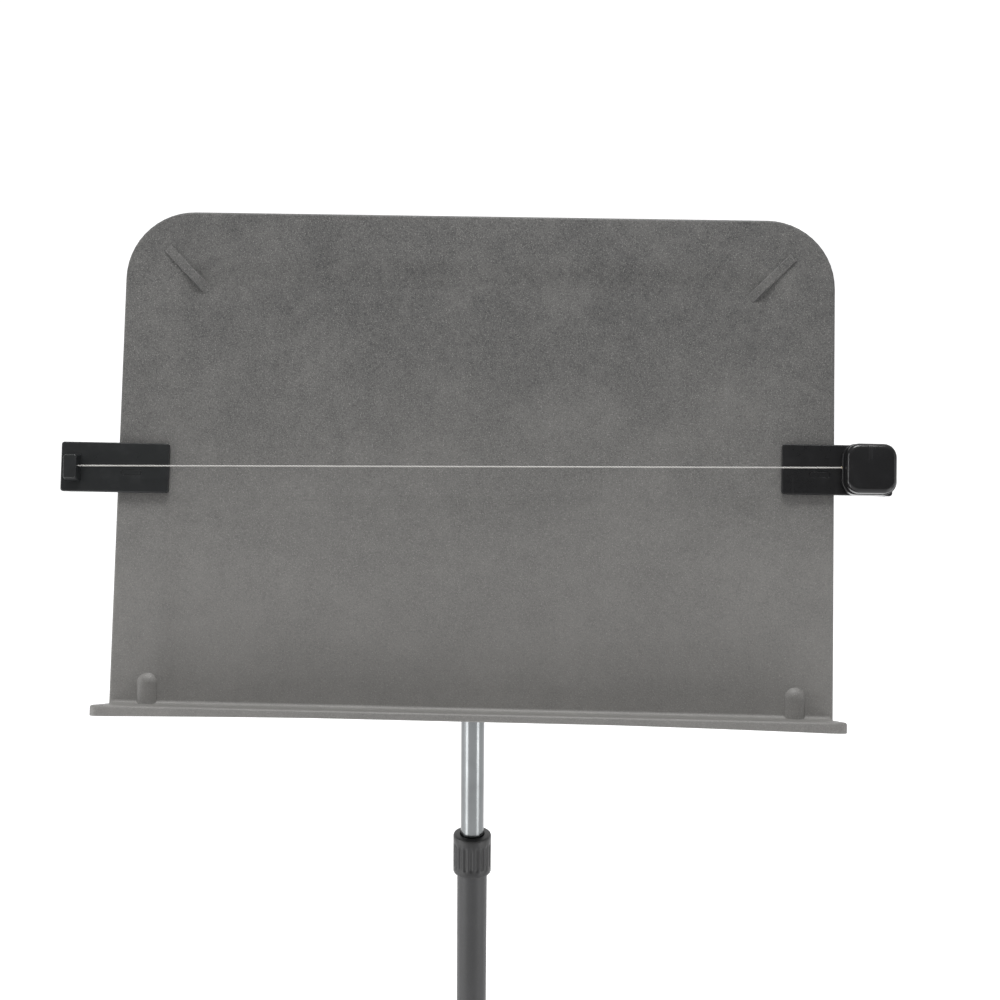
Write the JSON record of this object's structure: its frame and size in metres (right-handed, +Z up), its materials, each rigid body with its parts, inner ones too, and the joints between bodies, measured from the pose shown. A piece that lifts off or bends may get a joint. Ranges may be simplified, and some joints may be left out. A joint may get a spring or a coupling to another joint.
{
  "type": "music stand",
  "caption": "Orchestra music stand: moulded desk with a ledge on a telescopic, tilting mast over a tripod base, with a spring-clipped retractable page line.",
  "frame": {"origin": "on the floor, on the mast's axis", "axes": "+Z up along the mast, -Y towards the reader, +X to the reader's right"},
  "size_m": [0.5825, 0.4487, 1.0523],
  "materials": {
    "desk_plastic": "dark grey moulded plastic with a fine speckled grain",
    "clip_plastic": "black satin moulded plastic",
    "black_plastic": "black moulded plastic",
    "coated_steel": "dark satin powder coat on steel",
    "coated_iron": "dark satin powder coat on cast iron",
    "cast_alloy": "tumbled cast alloy",
    "plated_steel": "satin bright plating",
    "zinc_steel": "zinc-plated steel",
    "pale_nylon": "natural nylon",
    "rubber": "black rubber",
    "brass": "polished brass",
    "page_line": "pale plastic-coated line",
    "magnet": "nickel-plated magnet"
  },
  "bodies": {
    "base": {"hub": "coated_iron", "leg_rear": "coated_steel", "leg_front_left": "coated_steel", "leg_front_right": "coated_steel", "foot_rear": "rubber", "foot_front_left": "rubber", "foot_front_right": "rubber", "leg_set_screws": "zinc_steel", "tube_plug": "cast_alloy", "tube_bolt": "zinc_steel", "tube_washer": "zinc_steel", "outer_tube": "coated_steel", "guide_bush": "pale_nylon", "collar": "black_plastic"},
    "clutch": {"clutch_sleeve": "pale_nylon", "clutch_expander": "zinc_steel"},
    "mast": {"inner_tube": "plated_steel", "clutch_plug": "cast_alloy", "clutch_retainer": "zinc_steel", "tilt_head": "cast_alloy", "head_pin": "zinc_steel"},
    "desk": {"desk": "desk_plastic", "tilt_bracket": "coated_steel", "bracket_screws": "zinc_steel", "tilt_bolt": "zinc_steel", "tilt_nut": "zinc_steel", "disc_springs": "zinc_steel", "friction_washer_left": "pale_nylon", "friction_washer_right": "pale_nylon"},
    "right_clip": {"right_front_plate": "clip_plastic", "right_front_pad": "rubber", "right_hinge_pin": "zinc_steel", "right_clip_spring": "zinc_steel", "reel_base": "clip_plastic", "reel_cap": "clip_plastic", "reel_screw": "zinc_steel", "power_spring": "zinc_steel", "line_eyelet": "brass", "page_line": "page_line"},
    "right_jaw": {"right_back_plate": "clip_plastic", "right_back_pad": "rubber"},
    "spool": {"spool": "black_plastic", "line_winding": "page_line"},
    "left_clip": {"left_front_plate": "clip_plastic", "left_front_pad": "rubber", "left_hinge_pin": "zinc_steel", "left_clip_spring": "zinc_steel", "keeper_disc": "zinc_steel"},
    "left_jaw": {"left_back_plate": "clip_plastic", "left_back_pad": "rubber"},
    "line_end": {"dock_tab": "clip_plastic", "tab_magnet": "magnet"}
  },
  "joints": [
    {"name": "height_slide", "type": "slide", "parent": "base", "child": "clutch", "axis": [0, 0, 1], "range_m": [-0.12, 0.32]},
    {"name": "desk_swivel", "type": "hinge", "parent": "clutch", "child": "mast", "pos_m": [0, 0, 0.212], "axis": [0, 0, 1], "continuous": true},
    {"name": "desk_tilt", "type": "hinge", "parent": "mast", "child": "desk", "pos_m": [0, 0, 0.8], "axis": [1, 0, 0], "range_deg": [-65, 15]},
    {"name": "right_clip_slide", "type": "slide", "parent": "desk", "child": "right_clip", "axis": [0, 0.342, 0.9397], "range_m": [-0.11, 0.1]},
    {"name": "left_clip_slide", "type": "slide", "parent": "desk", "child": "left_clip", "axis": [0, 0.342, 0.9397], "range_m": [-0.11, 0.1]},
    {"name": "right_jaw_open", "type": "hinge", "parent": "right_clip", "child": "right_jaw", "pos_m": [0.26001, 0.00224, 0.8873], "axis": [0, -0.342, -0.9397], "range_deg": [0, 13], "stiffness_Nm_per_rad": 0.3, "springref_deg": -11.46, "deforming": ["right_clip_spring"]},
    {"name": "left_jaw_open", "type": "hinge", "parent": "left_clip", "child": "left_jaw", "pos_m": [-0.26005, -0.00042, 0.87997], "axis": [0, 0.342, 0.9397], "range_deg": [0, 13], "stiffness_Nm_per_rad": 0.3, "springref_deg": -11.46, "deforming": ["left_clip_spring"]},
    {"name": "line_pull", "type": "slide", "parent": "right_clip", "child": "line_end", "axis": [0.9999, 0.0056, 0.0154], "range_m": [0, 0.529], "deforming": ["page_line"]},
    {"name": "spool_turn", "type": "hinge", "parent": "right_clip", "child": "spool", "pos_m": [0.27321, -0.01021, 0.89183], "axis": [0, -0.9397, 0.342], "continuous": true}
  ],
  "couplings": [
    {"joint": "left_clip_slide", "follows": "right_clip_slide", "ratio": 1},
    {"joint": "spool_turn", "follows": "line_pull", "rad_per_m": -90.09}
  ]
}
